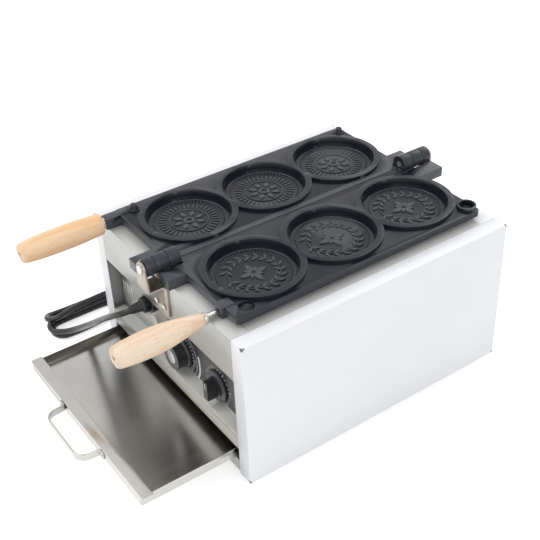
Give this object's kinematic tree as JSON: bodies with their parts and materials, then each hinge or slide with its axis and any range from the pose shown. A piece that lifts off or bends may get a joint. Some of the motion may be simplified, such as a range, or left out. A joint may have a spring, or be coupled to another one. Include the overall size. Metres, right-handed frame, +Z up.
{
  "type": "coin bread maker",
  "caption": "Counter-top bread maker: two hinged coin-pocket moulds with wooden handles over electric elements, front controls, a pull-out drip tray and a mains cord.",
  "frame": {"origin": "on the counter, under the middle of the housing", "axes": "-Y is the front with the controls, +X the operator's right, +Z up"},
  "size_m": [0.4325, 0.5272, 0.2233],
  "materials": {
    "side_panel": "smooth cool white paint",
    "front_steel": "satin stainless sheet",
    "inner_steel": "satin stainless sheet",
    "label_plate": "dark printed plate without lettering",
    "lamp": "clear-white lens",
    "element_steel": "heat-darkened sheath",
    "pin_steel": "bright zinc",
    "controls": "moulded",
    "terminal_ceramic": "unglazed",
    "knob": "moulded",
    "mould": "dark non-stick coating on cast aluminium",
    "handle_wood": "pale turned beech",
    "tray_steel": "bright stainless sheet",
    "foot_rubber": "matt",
    "gland": "moulded nylon",
    "cord": "smooth sheath",
    "plug": "moulded",
    "plug_pin": "plated"
  },
  "bodies": {
    "housing": {"left_side_panel": "side_panel", "right_side_panel": "side_panel", "back_panel": "side_panel", "front_fascia": "front_steel", "front_beam": "front_steel", "front_hinge_bracket": "front_steel", "rear_hinge_bracket": "front_steel", "base_pan": "inner_steel", "control_panel": "inner_steel", "left_tray_rail": "inner_steel", "right_tray_rail": "inner_steel", "chamber_left_wall": "inner_steel", "chamber_right_wall": "inner_steel", "chamber_back_wall": "inner_steel", "chamber_front_wall": "inner_steel", "heater_support_strips": "inner_steel", "control_label_plate": "label_plate", "indicator_lamp": "lamp", "left_heating_element": "element_steel", "right_heating_element": "element_steel", "front_hinge_pin": "pin_steel", "rear_hinge_pin": "pin_steel", "bracket_screws": "pin_steel", "foot_screws": "pin_steel", "timer_control": "controls", "heat_control": "controls", "terminal_block": "terminal_ceramic", "rubber_feet": "foot_rubber", "gland_body": "gland", "gland_nut": "gland", "mains_cord": "cord", "cord_hank": "cord", "cord_tail": "cord", "plug_body": "plug", "plug_pins": "plug_pin"},
    "left_mould": {"left_mould": "mould", "left_handle_rod": "pin_steel", "left_handle": "handle_wood"},
    "right_mould": {"right_mould": "mould", "right_handle_rod": "pin_steel", "right_handle": "handle_wood"},
    "tray": {"drip_tray": "tray_steel", "tray_handle": "tray_steel", "tray_handle_rivets": "pin_steel"},
    "timer_knob": {"timer_knob": "knob"},
    "heat_knob": {"heat_knob": "knob"}
  },
  "joints": [
    {"name": "left_mould_hinge", "type": "hinge", "parent": "housing", "child": "left_mould", "pos_m": [0, 0, 0.2128], "axis": [0, 1, 0], "range_deg": [0, 180]},
    {"name": "right_mould_hinge", "type": "hinge", "parent": "housing", "child": "right_mould", "pos_m": [0, 0, 0.2128], "axis": [0, -1, 0], "range_deg": [0, 180]},
    {"name": "tray_slide", "type": "slide", "parent": "housing", "child": "tray", "axis": [0, 1, 0], "range_m": [-0.1, 0.116]},
    {"name": "timer_knob_turn", "type": "hinge", "parent": "housing", "child": "timer_knob", "pos_m": [0.009, -0.17, 0.089], "axis": [0, 1, 0], "range_deg": [0, 300]},
    {"name": "heat_knob_turn", "type": "hinge", "parent": "housing", "child": "heat_knob", "pos_m": [0.082, -0.17, 0.089], "axis": [0, 1, 0], "range_deg": [-90, 180]}
  ]
}
